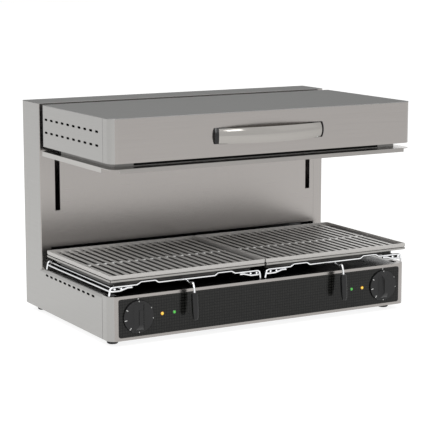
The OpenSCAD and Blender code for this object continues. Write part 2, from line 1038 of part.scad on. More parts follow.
module handle_strap() {
    color("#B4B2AF")
        difference() {
            translate([0, strap_y, handle_z])
                rotate([0, 0, -90 - strap_angle])
                    rotate_extrude(angle = 2 * strap_angle, $fn = 180)
                        strap_section(0);
            strap_screw_hole();
        }
}

module strap_screw_hole() {
    along_y(strap_screw_x, handle_z - 14.5, head_y - handle_out, head_y - 3, 4);
}

// Solid behind the crowned face, down to a chord, for the ends
module plug_section() {
    translate([strap_r, 0])
        intersection() {
            translate([-section_r, 0])
                circle(section_r, $fn = 96);
            translate([-section_r * 0.6, -handle_h / 2])
                square([section_r, handle_h]);
        }
}

module handle_end() {
    end_angle = asin(handle_l / 2 / strap_r);
    start_angle = asin((strap_end - 26) / strap_r);
    intersection() {
        translate([0, strap_y, handle_z])
            rotate([0, 0, -90 + start_angle])
                difference() {
                    rotate_extrude(angle = end_angle - start_angle, $fn = 180)
                        plug_section();
                    rotate([0, 0, -1])
                        rotate_extrude(angle = strap_angle - start_angle + 1, $fn = 180)
                            strap_section(2);
                }
        block([0, head_y - handle_out, handle_z - handle_h], [handle_l, head_y, handle_z + handle_h]);
    }
}

module handle_ends() {
    color("#232324")
        difference() {
            both_sides()
                handle_end();
            for (a = [-1, 1], b = [-1, 1])
                along_y(a * bolt_x, handle_z + b * 9, head_y - 3.5, head_y + cut, bolt_d);
            strap_screw_hole();
        }
}

// Four bolts from inside the head, and one screw through the strap
module handle_bolts() {
    color("#B9BBBD") {
        for (a = [-1, 1], b = [-1, 1]) {
            along_y(a * bolt_x, handle_z + b * 9, head_y - 3.5, head_y + sheet, bolt_d);
            along_y(a * bolt_x, handle_z + b * 9, head_y + sheet, head_y + sheet + 4, 9);
        }
        along_y(strap_screw_x, handle_z - 14.5, head_y - 12, head_y - 3, 4);
    }
}

// ---------------------------------------------------------------- lifting gear

// Box arm through the slot, with a foot on the back of the head
module lift_arms() {
    wall = 1.6;
    color("#8F9092")
        for (a = [-1, 1])
            difference() {
                union() {
                    block([a * slot_x - arm_w / 2, head_back_y, arm_z],
                        [a * slot_x + arm_w / 2, carriage_y, arm_z + arm_h]);
                    block([a * slot_x - 20, head_back_y, arm_z],
                        [a * slot_x + 20, head_back_y + 3, arm_z + arm_h]);
                }
                block([a * slot_x - arm_w / 2 + wall, head_back_y - cut, arm_z + wall],
                    [a * slot_x + arm_w / 2 - wall, carriage_y + cut, arm_z + arm_h - wall]);
            }
}

module carriages() {
    color("#6F7275")
        both_sides()
            difference() {
                union() {
                    block([-slot_x - carriage_w / 2, carriage_y, carriage_z],
                        [-slot_x + carriage_w / 2, carriage_y + 34, carriage_z + carriage_h]);
                    block([-slot_x + carriage_w / 2 - 1, rod_y - 6, carriage_z],
                        [-pulley_x - pulley_r + 6, rod_y + 6, lug_z]);
                    block([-conduit_x - 12, carriage_y + 33, carriage_z + 6],
                        [-conduit_x + 12, conduit_y + 10, carriage_z + 9]);
                }
                translate([-slot_x, rod_y, carriage_z - cut])
                    cylinder(h = carriage_h + 2 * cut, d = bush_d);
            }
}

module bushes() {
    color("#B08D57")
        for (a = [-1, 1])
            translate([a * slot_x, rod_y, carriage_z])
                difference() {
                    cylinder(h = carriage_h, d = bush_d);
                    translate([0, 0, -cut])
                        cylinder(h = carriage_h + 2 * cut, d = rod_d + 2 * fit);
                }
}

// Corrugated sleeve for the wiring, which shortens as the head comes down
module flex_conduit() {
    pleats = 40;
    step = (conduit_high - conduit_low) / pleats;
    outer = [for (i = [0:pleats - 1], k = [0, 1])
        [conduit_r - 2 * k, conduit_low + (i + k / 2) * step]];
    color("#2C2C2E")
        translate([conduit_x, conduit_y, 0])
            rotate_extrude()
                polygon(concat([[0, conduit_low]], outer, [[conduit_r, conduit_high], [0, conduit_high]]));
}

// ---------------------------------------------------------------- racks, pans and grids

// Front or rear wire: splayed posts at both ends and two raised rests
module rack_wire(y, kick) {
    rest_z = rack_z + 5.7;
    half_path = [
        [-leg_x, y + kick, base_top + foot_gap],
        [-post_x, y, rack_z],
        [-125.5, y, rack_z],
        [-116.5, y, rest_z],
        [-80, y, rest_z],
        [-73, y, rack_z]];
    other_path = [for (i = [len(half_path) - 1:-1:0])
        [-half_path[i][0], half_path[i][1], half_path[i][2]]];
    bent_wire(concat(half_path, other_path), wire_d, 8, [0, 1, 0]);
}

module rack(x) {
    runner_xs = [grid_half - 17, grid_half - 33];
    low_x = post_x - 1;
    low_z = base_top + 11;
    neck_z = runner_z - 12;
    color("#C9CBCD")
        translate([x, 0, 0]) {
            rack_wire(rack_front, 1);
            rack_wire(rack_back, 9);
            both_sides() {
                for (rx = runner_xs)
                    bar([-rx, rack_front - 3, runner_z], [-rx, rack_back + 3, runner_z], wire_d);
                bent_wire([[-low_x, rack_back + 3, low_z], [-low_x, rack_front, low_z],
                    [-low_x + 22, rack_front, low_z], [-low_x + 41, rack_front, runner_z],
                    [-low_x + 52, rack_front, runner_z]],
                    wire_d, 5, [0, 0, 1]);
            }
            bent_wire([[0, rack_front + 8, runner_z + 1], [0, rack_front - 20, runner_z - 2.5],
                [0, rack_front - 28.5, runner_z + 2.5], [0, grip_y(grip_top - neck_z), neck_z],
                [0, grip_y(10), grip_top - 10]], wire_d, 3.6, [1, 0, 0]);
        }
}

grip_top = base_top - 4.5;
grip_tilt = 5.9;
grip_y0 = front_y - 25.6;
function grip_y(drop) = grip_y0 - drop * tan(grip_tilt);

module rack_grip(x) {
    r = grip_d / 2;
    color("#1D1D1E")
        difference() {
            translate([x, grip_y0, grip_top])
                rotate([180 - grip_tilt, 0, 0])
                    rotate_extrude()
                        polygon([[0, 0], [r - 2, 0], [r - 0.6, 1.4], [r, grip_l * 0.18], [r, grip_l * 0.62],
                            [r - 1.3, grip_l - 8], [r - 3, grip_l - 1.6], [r - 4.6, grip_l], [0, grip_l]]);
            bar([x, grip_y(-6), grip_top + 6], [x, grip_y(10), grip_top - 10], wire_d);
        }
}

// Sheet pan with a flat flange, its edge turned down
module pan(x) {
    mid_y = (grid_y0 + grid_y1) / 2;
    body_x = 2 * (grid_half - pan_side);
    body_y = grid_l - pan_front - pan_back;
    body_mid = grid_y0 + pan_front + body_y / 2;
    color("#77787A")
        translate([x, 0, 0])
            difference() {
                union() {
                    translate([0, mid_y, pan_top - lip_h])
                        linear_extrude(lip_h)
                            rounded(2 * grid_half, grid_l, 4);
                    translate([0, body_mid, pan_z])
                        linear_extrude(pan_h)
                            rounded(body_x, body_y, 12);
                }
                difference() {
                    translate([0, mid_y, pan_top - lip_h - cut])
                        linear_extrude(lip_h + cut - pan_t)
                            rounded(2 * (grid_half - pan_t), grid_l - 2 * pan_t, 4 - pan_t);
                    translate([0, body_mid, pan_z])
                        linear_extrude(pan_h)
                            rounded(body_x, body_y, 12);
                }
                translate([0, body_mid, pan_z + pan_t])
                    linear_extrude(pan_h)
                        rounded(body_x - 2 * pan_t, body_y - 2 * pan_t, 12 - pan_t);
            }
}

// Crowned rib across the grid
module rib(x, y0, y1) {
    crown_r = (pow(rib_w / 2, 2) + pow(rib_crown, 2)) / (2 * rib_crown);
    top = rib_z + rib_h + rib_crown;
    translate([x, y1, top])
        rotate([90, 0, 0])
            linear_extrude(y1 - y0)
                intersection() {
                    translate([0, -crown_r])
                        circle(crown_r);
                    translate([-rib_w / 2, -rib_h - rib_crown])
                        square([rib_w, rib_h + rib_crown]);
                }
}

module grid(x) {
    mid_y = (grid_y0 + grid_y1) / 2;
    step = 2.7;
    skirt = 1.6;
    first = -(ribs - 1) / 2 * rib_pitch;
    color("#8E8F91")
        translate([x, 0, 0]) {
            difference() {
                union() {
                    translate([0, mid_y, pan_top + step])
                        linear_extrude(rim_z - pan_top - step)
                            rounded(2 * grid_half, grid_l, 4);
                    translate([0, mid_y, rib_z])
                        linear_extrude(rim_z - rib_z)
                            rounded(2 * (grid_half - skirt), grid_l - 2 * skirt, 4 - skirt);
                }
                translate([0, mid_y, rib_z - cut])
                    linear_extrude(rim_z - rib_z + 2 * cut)
                        rounded(2 * (grid_half - rim_t), grid_l - 2 * rim_t, 1);
            }
            for (i = [0:ribs - 1])
                rib(first + i * rib_pitch, grid_y0 + rim_t - 0.2, grid_y1 - rim_t + 0.2);
            for (y = [grid_y0 + pan_front / 2, grid_y1 - pan_back / 2])
                block([-grid_half + skirt + 0.4, y - 3, bar_z],
                    [grid_half - skirt - 0.4, y + 3, bar_z + bar_t]);
            translate([-grid_half + pan_side + 3, grid_y0 + (grid_l + pan_front - pan_back) / 2, rib_z - 2.4])
                rotate([0, 90, 0])
                    cylinder(h = 2 * (grid_half - pan_side - 3), d = 5.4);
        }
}

module rack_left() {
    rack(-grid_x - side_play);
}

module rack_right() {
    rack(grid_x);
}

module rack_grip_left() {
    rack_grip(-grid_x - side_play);
}

module rack_grip_right() {
    rack_grip(grid_x);
}

module pan_left() {
    pan(-grid_x);
}

module pan_right() {
    pan(grid_x);
}

module grid_left() {
    grid(-grid_x);
}

module grid_right() {
    grid(grid_x);
}

base_front_wrap();
side_panel_left();
side_panel_right();
base_floor();
base_deck();
recess_liner();
feet();
control_panel();
green_lamps();
amber_lamps();
thermostats();
terminal_block();
column_front();
column_cap();
rear_cover();
cable_glands();
casing_screws();
guide_rods();
rod_brackets();
stop_collars();
pulley_brackets();
cable_tops();
knob_left();
knob_right();
pulley_left();
pulley_right();
cable_backs();
counterweight();
weight_hooks();
head_front_wrap();
head_side_left();
head_side_right();
head_top();
head_back();
head_floor();
heater_pan();
vent_strip();
insulation_board();
heating_elements();
element_brackets();
flange_plate();
spacers();
handle_strap();
handle_ends();
handle_bolts();
lift_arms();
carriages();
bushes();
flex_conduit();
cable_fronts();
rack_left();
rack_right();
rack_grip_left();
rack_grip_right();
pan_left();
pan_right();
grid_left();
grid_right();
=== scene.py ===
from math import radians, tan

import bmesh
import bpy
from mathutils import Matrix, Vector
from mathutils.geometry import interpolate_bezier


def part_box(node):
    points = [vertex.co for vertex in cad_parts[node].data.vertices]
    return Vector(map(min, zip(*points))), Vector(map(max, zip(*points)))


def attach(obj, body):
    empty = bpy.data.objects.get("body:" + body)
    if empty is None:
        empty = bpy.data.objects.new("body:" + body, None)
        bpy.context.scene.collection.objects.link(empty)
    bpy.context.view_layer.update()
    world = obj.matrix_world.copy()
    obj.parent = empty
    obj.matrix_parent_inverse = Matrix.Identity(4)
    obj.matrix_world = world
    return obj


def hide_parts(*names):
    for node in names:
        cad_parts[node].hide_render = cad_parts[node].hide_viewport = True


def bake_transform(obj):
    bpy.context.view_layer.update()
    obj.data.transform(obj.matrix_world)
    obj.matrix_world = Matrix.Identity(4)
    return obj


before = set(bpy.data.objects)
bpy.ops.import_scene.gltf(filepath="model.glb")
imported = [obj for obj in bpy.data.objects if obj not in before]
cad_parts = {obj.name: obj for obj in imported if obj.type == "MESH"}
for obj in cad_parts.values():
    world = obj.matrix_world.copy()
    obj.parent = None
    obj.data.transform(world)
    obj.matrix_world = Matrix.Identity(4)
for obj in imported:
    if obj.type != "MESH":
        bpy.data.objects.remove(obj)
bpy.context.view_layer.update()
scene = bpy.context.scene
scene.view_settings.view_transform = "Standard"


# ------------------------------------------------------------ viewpoint
# A long lens, three and a half metres away, a little above the heating head and
# off to the left, so that the left side, the front and the tops all show.
def placed(name, data):
    """A new object that holds the data, at the scene's origin."""
    made = bpy.data.objects.new(name, data)
    scene.collection.objects.link(made)
    return made


camera = placed("camera", bpy.data.cameras.new("camera"))
camera.data.sensor_width = 36
camera.data.lens = 131.29
camera.location = (-1.8593, -3.2486, 0.8738)
camera.rotation_euler = (radians(80.3104), 0, radians(-29.6436))
scene.camera = camera


# ------------------------------------------------------------ studio
# A pale floor under an even white surround, lit by a broad key lamp at the upper
# left, a wide one from above and two weak ones in front. Seen straight or in
# polished metal, floor and surround are white.
surround_light = 0.62
floor_lift = 0.84
floor_half = 20
lamp_aim = Vector((0, 0, 0.25))
lamps = {
    "key": {"place": (-1.9, -2.3, 2.6), "width": 1.8, "watts": 50},
    "fill": {"place": (2.8, -2.2, 2.6), "width": 2.8, "watts": 2},
    "accent": {"place": (0.0, -2.7, 2.4), "width": 0.6, "watts": 4},
    "top": {"place": (0.3, 0.9, 2.9), "width": 2.4, "watts": 14},
}


def linear(hex_colour):
    """The linear colour, with alpha, of an sRGB colour written #RRGGBB."""
    parts = [int(hex_colour[i:i + 2], 16) / 255 for i in (1, 3, 5)]
    return [c / 12.92 if c <= 0.04045 else ((c + 0.055) / 1.055) ** 2.4 for c in parts] + [1]


def add(tree, kind, values=(), feeds=(), **settings):
    """A new node with its settings, its socket values and the outputs that feed its sockets."""
    made = tree.nodes.new("ShaderNode" + kind)
    for name, value in settings.items():
        setattr(made, name, value)
    for socket, value in dict(values).items():
        made.inputs[socket].default_value = value
    for socket, source in dict(feeds).items():
        tree.links.new(source, made.inputs[socket])
    return made


def seen_directly(tree):
    """One where a ray comes from the camera, a reflection or a clear piece, else nought."""
    path = add(tree, "LightPath")
    either = add(tree, "Math", (), {0: path.outputs["Is Camera Ray"],
                                    1: path.outputs["Is Glossy Ray"]}, operation="MAXIMUM")
    both = add(tree, "Math", (), {0: either.outputs[0],
                                  1: path.outputs["Is Transmission Ray"]}, operation="MAXIMUM")
    return both.outputs[0]


world = bpy.data.worlds.new("white_surround")
scene.world = world
world.use_nodes = True
surround = world.node_tree
strength = add(surround, "Math", {1: 1 - surround_light, 2: surround_light},
               {0: seen_directly(surround)}, operation="MULTIPLY_ADD")
surround.nodes["Background"].inputs["Color"].default_value = (1, 1, 1, 1)
surround.links.new(strength.outputs[0], surround.nodes["Background"].inputs["Strength"])

pale_paper = bpy.data.materials.new("pale_paper")
pale_paper.use_nodes = True
paper = pale_paper.node_tree
paper.nodes.remove(paper.nodes["Principled BSDF"])
fibres = add(paper, "TexNoise", {"Scale": 300, "Detail": 2})
tint = add(paper, "MixRGB", {1: linear("#A2A2A1"), 2: linear("#A8A8A7")},
           {0: fibres.outputs["Fac"]})
paper_face = add(paper, "BsdfDiffuse", (), {"Color": tint.outputs[0]})
lift = add(paper, "Math", {1: floor_lift}, {0: seen_directly(paper)}, operation="MULTIPLY")
glow = add(paper, "Emission", {"Color": (1, 1, 1, 1)}, {"Strength": lift.outputs[0]})
paper_sum = add(paper, "AddShader", (), {0: paper_face.outputs[0], 1: glow.outputs[0]})
paper.links.new(paper_sum.outputs[0], paper.nodes["Material Output"].inputs["Surface"])

floor_mesh = bpy.data.meshes.new("floor")
form = bmesh.new()
bmesh.ops.create_grid(form, x_segments=1, y_segments=1, size=floor_half)
form.to_mesh(floor_mesh)
form.free()
floor_mesh.materials.append(pale_paper)
studio_floor = placed("studio_floor", floor_mesh)

for name, light in lamps.items():
    lamp = placed(name + "_lamp", bpy.data.lights.new(name + "_lamp", "AREA"))
    lamp.data.size = light["width"]
    lamp.data.energy = light["watts"]
    lamp.location = light["place"]
    lamp.rotation_euler = (lamp_aim - Vector(light["place"])).to_track_quat("-Z", "Y").to_euler()


# ------------------------------------------------------------ feet
# Four short feet of moulded black rubber under the corners, each bonded to a
# stud that passes the base. The mould leaves a dull, finely pitted skin.
def material(name, colour, roughness, metallic=0, **sockets):
    """A new material, its node tree and its shader, with plain values on the shader's sockets."""
    made = bpy.data.materials.new(name)
    made.use_nodes = True
    shader = made.node_tree.nodes["Principled BSDF"]
    shader.inputs["Base Color"].default_value = linear(colour)
    shader.inputs["Roughness"].default_value = roughness
    shader.inputs["Metallic"].default_value = metallic
    for socket, value in sockets.items():
        shader.inputs[socket.replace("_", " ")].default_value = value
    return made, made.node_tree, shader


def grained(name, colours, grain, roughness, depth, metallic=0, **sockets):
    """A material whose grain, in metres along X, Y and Z, shifts its tone, gloss and height."""
    made, tree, shader = material(name, colours[0], sum(roughness) / 2, metallic, **sockets)
    place = add(tree, "TexCoord")
    scale = add(tree, "Mapping", {"Scale": [1 / size for size in grain]},
                {0: place.outputs["Object"]})
    noise = add(tree, "TexNoise", {"Scale": 1, "Detail": 3, "Roughness": 0.6},
                {0: scale.outputs[0]})
    tone = add(tree, "MixRGB", {1: linear(colours[0]), 2: linear(colours[1])},
               {0: noise.outputs["Fac"]})
    gloss = add(tree, "MapRange", {3: roughness[0], 4: roughness[1]}, {0: noise.outputs["Fac"]})
    bump = add(tree, "Bump", {"Strength": 1, "Distance": depth}, {"Height": noise.outputs["Fac"]})
    tree.links.new(tone.outputs[0], shader.inputs["Base Color"])
    tree.links.new(gloss.outputs[0], shader.inputs["Roughness"])
    tree.links.new(bump.outputs[0], shader.inputs["Normal"])
    return made


def give(made, *names):
    """Puts a material on CAD pieces."""
    for name in names:
        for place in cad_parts[name].material_slots:
            place.material = made


rubber = grained("moulded_rubber", ("#1A1A1B", "#262627"), (0.0009,) * 3, (0.62, 0.8), 0.00008)
give(rubber, "feet", "stop_collars")


# ------------------------------------------------------------ base casing
# Wrap, sides, bottom and rear cover of 1.2 mm stainless sheet, laser cut, folded
# and spot welded. It comes satin brushed: fine lines along X or Y smear its sheen
# across them. The hidden sheet keeps its greyer, duller mill finish.
line, run = 0.0016, 0.14  # a brushed line's width and length, as drawn
along_x = (run, line, line)
along_y = (line, run, line)
sheet_edge = 0.0003
weld, slack = 0.000005, 0.0002  # corners this near are joined; are taken as in one place
flat_tilt, sheet_tilt, round_tilt = radians(0.5), radians(30), radians(40)
deck_z = 0.116
fold_x, fold_y, fold_r, fold_less = 0.391, 0.164, 0.009, 0.0065
cut_z = deck_z + 0.002
skin_x = 0.398
vent_half_long, vent_half_high, vent_stretch = 0.006, 0.0028, 1.35
base_vents = {"rows": (0.104,), "first": 0.123, "pitch": 0.0255}
seam_gap = 0.0008
facing, past_fold = 0.7, 0.45  # how far a face's normal has to lean to count as turned


def brushed(name, light, dark, grain, roughness=(0.25, 0.34), edge=1, depth=0.000004):
    """Brushed stainless sheet. Real lines are 0.2 mm apart, and are drawn coarser to show.
    An edge tone below one darkens it where it is seen at a low angle."""
    return grained(name, (light, dark), grain, roughness, depth, 1,
                   Specular_Tint=(edge, edge, edge, 1))


def welded_copy(new_name, name):
    """A copy of a CAD piece, and its form with doubled corners joined."""
    piece = placed(new_name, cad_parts[name].data.copy())
    form = bmesh.new()
    form.from_mesh(piece.data)
    bmesh.ops.remove_doubles(form, verts=form.verts, dist=weld)
    return piece, form


def finished(piece, form, made):
    """Gives a piece its form in one material, smooth but for its sharp edges."""
    form.to_mesh(piece.data)
    form.free()
    piece.data.materials.clear()
    piece.data.materials.append(made)
    piece.data.shade_smooth()
    piece.data.set_sharp_from_angle(angle=round_tilt)


def eased(name, body, made, radius=sheet_edge, tilt=sheet_tilt, reshape=None):
    """A copy of a CAD piece in its place, reshaped, its sharp edges eased to a radius."""
    piece, form = welded_copy(name + "_eased", name)
    bmesh.ops.dissolve_limit(form, angle_limit=flat_tilt, verts=form.verts, edges=form.edges)
    if reshape:
        reshape(form)
    sharp = [edge for edge in form.edges if edge.is_manifold and edge.calc_face_angle() > tilt]
    bmesh.ops.bevel(form, geom=sharp, offset=radius, segments=2, profile=0.5, clamp_overlap=True,
                    affect="EDGES", material=-1)
    finished(piece, form, made)
    flats = piece.modifiers.new("flats", "WEIGHTED_NORMAL")
    flats.weight = 100
    flats.keep_sharp = True
    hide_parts(name)
    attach(piece, body)
    return piece


def face_with(piece, made, chosen):
    """Puts a second finish on the chosen faces that still have the piece's first."""
    piece.data.materials.append(made)
    for face in piece.data.polygons:
        if face.material_index == 0 and chosen(face):
            face.material_index = len(piece.data.materials) - 1


def tight_folds(form):
    """Draws the upright folds at the column's front corners in to a pressed fold's radius."""
    bmesh.ops.bisect_plane(form, geom=[*form.verts, *form.edges, *form.faces],
                           plane_co=(0, 0, cut_z), plane_no=(0, 0, 1))
    for vert in form.verts:
        side = 1 if vert.co.x > 0 else -1
        away = Vector((vert.co.x - side * fold_x, vert.co.y - fold_y))
        outward = away.x * side > -weld and away.y < weld
        if vert.co.z > cut_z - slack and outward and away.length < fold_r + slack:
            away *= 1 - fold_less / away.length
            vert.co.xy = (side * (fold_x + fold_less) + away.x, fold_y - fold_less + away.y)


def longer_vents(form, rows, first, pitch):
    """Stretches the vents of a side sheet along Y, in rows at given heights."""
    for vert in form.verts:
        centre = first - round((first - vert.co.y) / pitch) * pitch
        in_row = any(abs(vert.co.z - row) < vent_half_high for row in rows)
        if in_row and abs(vert.co.y - centre) < vent_half_long and abs(vert.co.x) > skin_x:
            vert.co.y = centre + (vert.co.y - centre) * vent_stretch


def side_form(form):
    """The side panels' folds and vents."""
    tight_folds(form)
    longer_vents(form, **base_vents)


def open_seam(form):
    """Draws a wrap's ends forward, so that a fine dark joint shows before the side sheets."""
    ends = max(vert.co.y for vert in form.verts)
    for vert in form.verts:
        if vert.co.y > ends - slack:
            vert.co.y -= seam_gap


def front_wrap(name, body):
    """A wrap round both front corners, its left return brushed along Y and painted lighter like the
    side sheets: painted light.
    """
    wrap = eased(name, body, front_sheet_painted_shade, reshape=open_seam)
    face_with(wrap, side_sheet_painted_light, lambda face: face.normal.x < -past_fold)


# The sides are finished along Y and the front along X. Their tones are painted light
# and shade on one satin sheet: the sides lighter, the front and backsplash darker, as
# light falls from the left. The backsplash is the evenest. The tops are rougher, and a
# low edge tone paints them darker where seen at a low angle: painted shade.
side_sheet_painted_light = brushed("satin_stainless_side", "#A6A5A3", "#9F9E9C", along_y)
front_sheet_painted_shade = brushed("satin_stainless_front_painted_shade", "#A29E9B", "#9A9693", along_x, (0.18, 0.25))
column_sheet = brushed("satin_stainless_backsplash", "#A5A19E", "#A29E9B", along_x, (0.26, 0.28),
                       depth=0.0000015)
top_sheet_painted_shade = brushed("satin_stainless_top_painted_shade", "#A7A7A6", "#9F9F9E", along_x, (0.42, 0.5), 0.08)
hidden_sheet = brushed("mill_finish_stainless", "#95969A", "#8A8B8D", along_y, (0.3, 0.42))
front_wrap("base_front_wrap", "casing")
for side in ("left", "right"):
    panel = eased("side_panel_" + side, "casing", side_sheet_painted_light, reshape=side_form)
    # Their faces that turn to the front above the deck take the backsplash's painted tone instead
    # of the sides' lighter painted one.
    face_with(panel, column_sheet,
              lambda face: face.normal.y < -facing and face.center.z > deck_z)
give(hidden_sheet, "base_floor")
give(side_sheet_painted_light, "rear_cover")


# ------------------------------------------------------------ deck and recess
# The deck under the racks and the recess behind them, of steel sheet painted a deep,
# glassy, faintly wavy black: painted shade, for the dark under and behind the racks.
glassy_shade_black = grained("glassy_black_painted_shade", ("#0C0C0D", "#151516"), (0.006,) * 3, (0.16, 0.28),
                 0.00001, IOR=1.52)
give(glassy_shade_black, "base_deck", "recess_liner")


# ------------------------------------------------------------ fasteners and gland
# Screws, studs, spacers and brackets of zinc-plated steel, grey with a faint
# yellow cast, and a cable gland moulded in nylon, dull black.
zinc = grained("bright_zinc_plate", ("#BFC0BE", "#A9AAA6"), (0.004,) * 3, (0.26, 0.4), 0.000006,
               metallic=1)
nylon = grained("moulded_nylon", ("#1D1D1E", "#262627"), (0.0012,) * 3, (0.4, 0.52), 0.00003)
give(zinc, "casing_screws", "spacers", "element_brackets", "weight_hooks", "handle_bolts")
give(nylon, "cable_glands")


# ------------------------------------------------------------ wiring inside
# The terminal block and the two regulators behind the knobs, moulded in cream
# phenolic, dull and slightly mottled. They hang behind the panel.
phenolic = grained("cream_phenolic", ("#D9D4C6", "#C6C0B0"), (0.0015,) * 3, (0.5, 0.65), 0.00003)
give(phenolic, "terminal_block", "thermostats")


# ------------------------------------------------------------ control panel
# A facing moulded in black polycarbonate, screwed on from behind: near black with
# a low gloss, and a net of fine raised squares over its whole face that catch a
# little light. The net is drawn twice as coarse as it is so that it shows.
square = 0.0065
brick = 0.6  # one square, in the pattern's own units


def square_net(tree, pitch, tones, gap, blur):
    """A net on upright faces, in the tones of its squares and of the lines between them."""
    place = add(tree, "TexCoord")
    upright = add(tree, "Mapping", {"Rotation": (radians(90), 0, 0), "Scale": (brick / pitch,) * 3},
                  {0: place.outputs["Object"]})
    light, dark, between = (linear(tone) for tone in tones)
    return add(tree, "TexBrick", {"Color1": light, "Color2": dark, "Mortar": between, "Scale": 1,
                                  "Mortar Size": gap, "Mortar Smooth": blur,
                                  "Brick Width": brick, "Row Height": brick},
               {0: upright.outputs[0]}, offset=0)


panel_black, tree, shader = material("moulded_black_polycarbonate", "#101010", 0.14, IOR=1.34)
net = square_net(tree, square, ("#262624", "#20201E", "#020202"), 0.09, 0.4)
relief = add(tree, "Bump", {"Strength": 0.5, "Distance": 0.00006}, {"Height": net.outputs["Fac"]},
             invert=True)
tree.links.new(net.outputs["Color"], shader.inputs["Base Color"])
tree.links.new(relief.outputs[0], shader.inputs["Normal"])
eased("control_panel", "casing", panel_black, 0.0004)


# ------------------------------------------------------------ indicator lamps
# Four push-in indicators of clear tinted polycarbonate, green for power and
# amber for heat, lit from behind: bright at the crown, deeper at the rim.
crown_deep, rim_deep = 0.0001, 0.0012  # how far behind the front each colour lies


def lens(name, crown, rim, node):
    """A lit lens whose colour deepens from its crown to its rim."""
    made, tree, shader = material(name, crown, 0.12, IOR=1.58, Emission_Strength=0.5)
    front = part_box(node)[0].y
    place = add(tree, "TexCoord")
    axes = add(tree, "SeparateXYZ", (), {0: place.outputs["Object"]})
    depth = add(tree, "MapRange", {1: front + crown_deep, 2: front + rim_deep},
                {0: axes.outputs["Y"]})
    tone = add(tree, "MixRGB", {1: linear(crown), 2: linear(rim)}, {0: depth.outputs[0]})
    tree.links.new(tone.outputs[0], shader.inputs["Base Color"])
    tree.links.new(tone.outputs[0], shader.inputs["Emission Color"])
    give(made, node)


lens("lit_green_polycarbonate", "#4CC440", "#17651F", "green_lamps")
lens("lit_amber_polycarbonate", "#FBDC4E", "#C98A1C", "amber_lamps")


# ------------------------------------------------------------ knobs
# Two knobs, each a wide skirt and a scooped grip, moulded in black ABS whose fine
# spark-eroded texture leaves a soft sheen. Flat white pad-printed marks ring the
# skirt, and a dot on the panel is the index.
skirt_gap, skirt_rise = 0.0005, 0.004
mark_thick = 0.0003
mark_wide = 0.0021
mark_edge = 0.0364
mark_round = 0.3  # a corner's radius, as a share of the mark's short side
mark_long = {60: 0.0050, 100: 0.0064, 140: 0.0064, 0: 0.0026, 180: 0.0026,
             260: 0.0018, 300: 0.0018}
index_size, index_drop = 0.0028, 0.0018
abs_black = grained("eroded_black_abs", ("#0F0F10", "#151516"), (0.0007,) * 3, (0.22, 0.3), 0.00002,
                    Specular_IOR_Level=0.4)
white_ink, tree, shader = material("pad_printed_white_ink", "#F0F0EE", 0.5)
ink = add(tree, "TexNoise", {"Scale": 2500})
cover = add(tree, "MixRGB", {1: linear("#E8E8E6"), 2: linear("#D2D2CF")}, {0: ink.outputs["Fac"]})
tree.links.new(cover.outputs[0], shader.inputs["Base Color"])


def plate(name, size, corner, segments, place, made):
    """A thin upright plate with rounded corners, moved into place by a matrix."""
    form = bmesh.new()
    bmesh.ops.create_cube(form, size=1, matrix=Matrix.Diagonal((*size, 1)))
    through = [edge for edge in form.edges
               if abs(edge.verts[0].co.y - edge.verts[1].co.y) > size[1] / 2]
    bmesh.ops.bevel(form, geom=through, offset=corner, segments=segments, profile=0.5,
                    affect="EDGES", material=-1)
    form.transform(place)
    mesh = bpy.data.meshes.new(name)
    form.to_mesh(mesh)
    form.free()
    mesh.materials.append(made)
    return placed(name, mesh)


def printed_mark(name, wide, high, place, body):
    """A mark of white ink, a raised film with eased corners."""
    mark = plate(name, (wide, mark_thick, high), min(wide, high) * mark_round, 3, place,
                 white_ink)
    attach(mark, body)


panel_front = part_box("control_panel")[0].y
panel_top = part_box("control_panel")[1].z
for side, body in (("left", "knob_l"), ("right", "knob_r")):
    low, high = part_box("knob_" + side)
    centre = (low + high) / 2
    skirt = Matrix.Translation((centre.x, panel_front - skirt_gap - skirt_rise, centre.z))
    eased("knob_" + side, body, abs_black, 0.0006, round_tilt)
    for angle, length in mark_long.items():
        turn = Matrix.Rotation(radians(-angle), 4, "Y")
        out = Matrix.Translation((0, 0, mark_edge - length / 2))
        printed_mark(f"mark_{side}_{angle}", mark_wide, length, skirt @ turn @ out, body)
    dot = Matrix.Translation((centre.x, panel_front, panel_top - index_drop))
    printed_mark("index_" + side, index_size, index_size, dot, "casing")


# ------------------------------------------------------------ column
# The upright back of the casing: a flat satin sheet that splashes fat back on to
# the grids, with two slots for the lift arms, under a folded cap.
eased("column_front", "casing", column_sheet)
eased("column_cap", "casing", top_sheet_painted_shade, 0.0008, reshape=tight_folds)


# ------------------------------------------------------------ guides and counterweight
# Ground and hard-chromed rods in folded brackets, mirror bright, and between them a
# flame-cut steel weight with its mill scale on, dark blue-grey and mottled.
rod_chrome = grained("ground_hard_chrome", ("#D9DBDD", "#C9CBCE"), (0.004, 0.004, 0.0012),
                     (0.08, 0.16), 0.000002, metallic=1)
mill_scale = grained("mill_scale_steel", ("#4A4D51", "#63666A"), (0.011,) * 3, (0.45, 0.65),
                     0.00006, metallic=1)
give(rod_chrome, "guide_rods")
give(hidden_sheet, "rod_brackets", "pulley_brackets")
give(mill_scale, "counterweight")


# ------------------------------------------------------------ pulleys and cables
# Pulleys turned from black acetal, smooth and waxy, and steel cables of twisted
# strands whose lay is a slanting ripple. Between its pulley and the head or the
# weight each cable runs straight down.
cable_y, cable_top, cable_d = 0.205, 0.478, 0.003
lay_length = 0.006
acetal = grained("turned_acetal", ("#37383A", "#424345"), (0.0008,) * 3, (0.3, 0.42), 0.00001)
